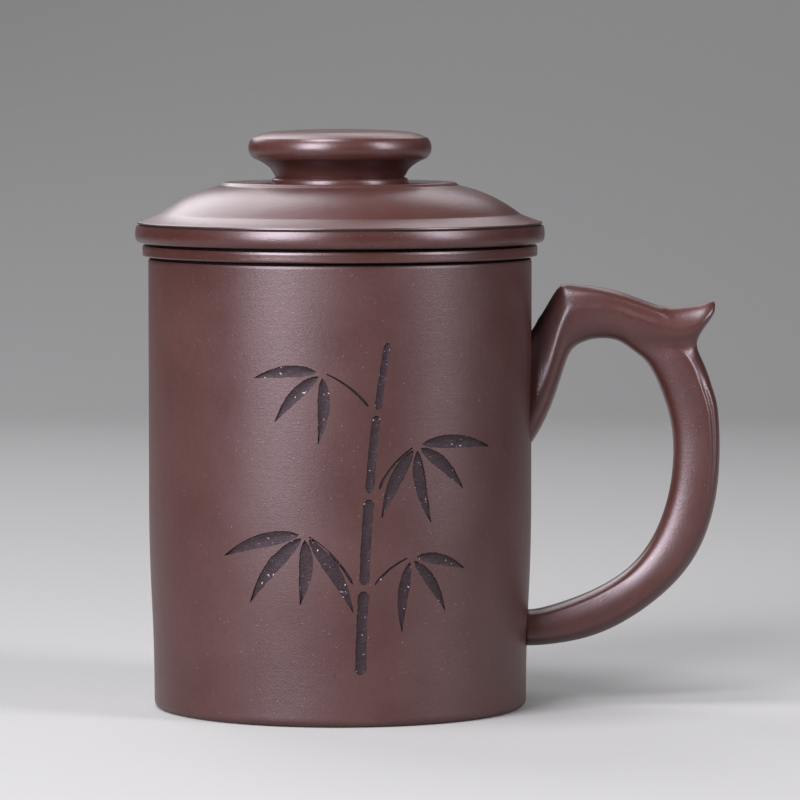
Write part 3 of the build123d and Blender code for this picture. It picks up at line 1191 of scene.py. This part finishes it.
def paper_finish(name):
    """Pale, matt paper."""
    pale = tuple(finish().floor)
    shade = (*(channel * PAPER_SHADE for channel in pale[:3]), 1)
    recipe = Recipe(name)
    cloud = recipe.noise(recipe.place(), PAPER_SCALE, detail=4.0)
    return recipe.surface(base_color=recipe.mix(cloud, shade, pale), roughness=PAPER_ROUGHNESS, ior=PAPER_IOR)


def hang_softbox(scene, name, place, target, width, height, watts):
    """A softbox at a place, facing a target."""
    light = bpy.data.lights.new(name, "AREA")
    light.shape = "RECTANGLE"
    light.size = width
    light.size_y = height
    light.energy = watts
    light.color = LAMP_TINT
    lamp = bpy.data.objects.new(name, light)
    lamp.location = place
    lamp.rotation_euler = (Vector(target) - Vector(place)).to_track_quat("-Z", "Y").to_euler()
    scene.collection.objects.link(lamp)


class TEACUP_OT_stage(bpy.types.Operator):
    """Lay the floor, hang the softboxes and set the camera"""

    bl_idname = "teacup.stage"
    bl_label = "Stage"

    def execute(self, context):
        scene = context.scene
        floor = swept_floor()
        floor.data.materials.append(material("floor_paper", paper_finish))
        for softbox in SOFTBOXES:
            hang_softbox(scene, *softbox)
        scene.world = bpy.data.worlds.new("studio")
        scene.world.use_nodes = True
        background = scene.world.node_tree.nodes["Background"]
        background.inputs["Color"].default_value = WORLD_COLOUR
        background.inputs["Strength"].default_value = WORLD_STRENGTH
        view = bpy.data.cameras.new("view")
        view.lens = CAMERA_LENS
        view.sensor_width = CAMERA_SENSOR
        view.clip_end = CAMERA_REACH
        camera = bpy.data.objects.new("view", view)
        camera.location = CAMERA_PLACE
        camera.rotation_euler = (CAMERA_PITCH, 0, 0)
        scene.collection.objects.link(camera)
        scene.camera = camera
        scene.view_settings.view_transform = "Standard"
        return {"FINISHED"}


class TEACUP_PT_panel(bpy.types.Panel):
    """Settings and steps of the tea cup"""

    bl_label = "Tea cup"
    bl_idname = "TEACUP_PT_panel"
    bl_space_type = "VIEW_3D"
    bl_region_type = "UI"
    bl_category = "Tea cup"

    def draw(self, context):
        layout = self.layout
        for group in (context.scene.tea_cup_sizes, context.scene.tea_cup_finish):
            box = layout.box()
            for key in group.bl_rna.properties.keys():
                if key not in ("rna_type", "name"):
                    box.prop(group, key)
        for step in STEPS:
            layout.operator(step.bl_idname)


STEPS = (
    TEACUP_OT_cup_body,
    TEACUP_OT_handle,
    TEACUP_OT_strainer_liner,
    TEACUP_OT_lid,
    TEACUP_OT_knob,
    TEACUP_OT_stage,
)
CLASSES = (TeaCupSizes, TeaCupFinish, *STEPS, TEACUP_PT_panel)


def register():
    for kind in CLASSES:
        bpy.utils.register_class(kind)
    bpy.types.Scene.tea_cup_sizes = bpy.props.PointerProperty(type=TeaCupSizes)
    bpy.types.Scene.tea_cup_finish = bpy.props.PointerProperty(type=TeaCupFinish)


def unregister():
    del bpy.types.Scene.tea_cup_finish
    del bpy.types.Scene.tea_cup_sizes
    for kind in reversed(CLASSES):
        bpy.utils.unregister_class(kind)


def main():
    """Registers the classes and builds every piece."""
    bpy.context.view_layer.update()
    register()
    bpy.ops.teacup.cup_body()
    bpy.ops.teacup.handle()
    bpy.ops.teacup.strainer_liner()
    bpy.ops.teacup.lid()
    bpy.ops.teacup.knob()
    bpy.ops.teacup.stage()


if __name__ == "__main__":
    main()
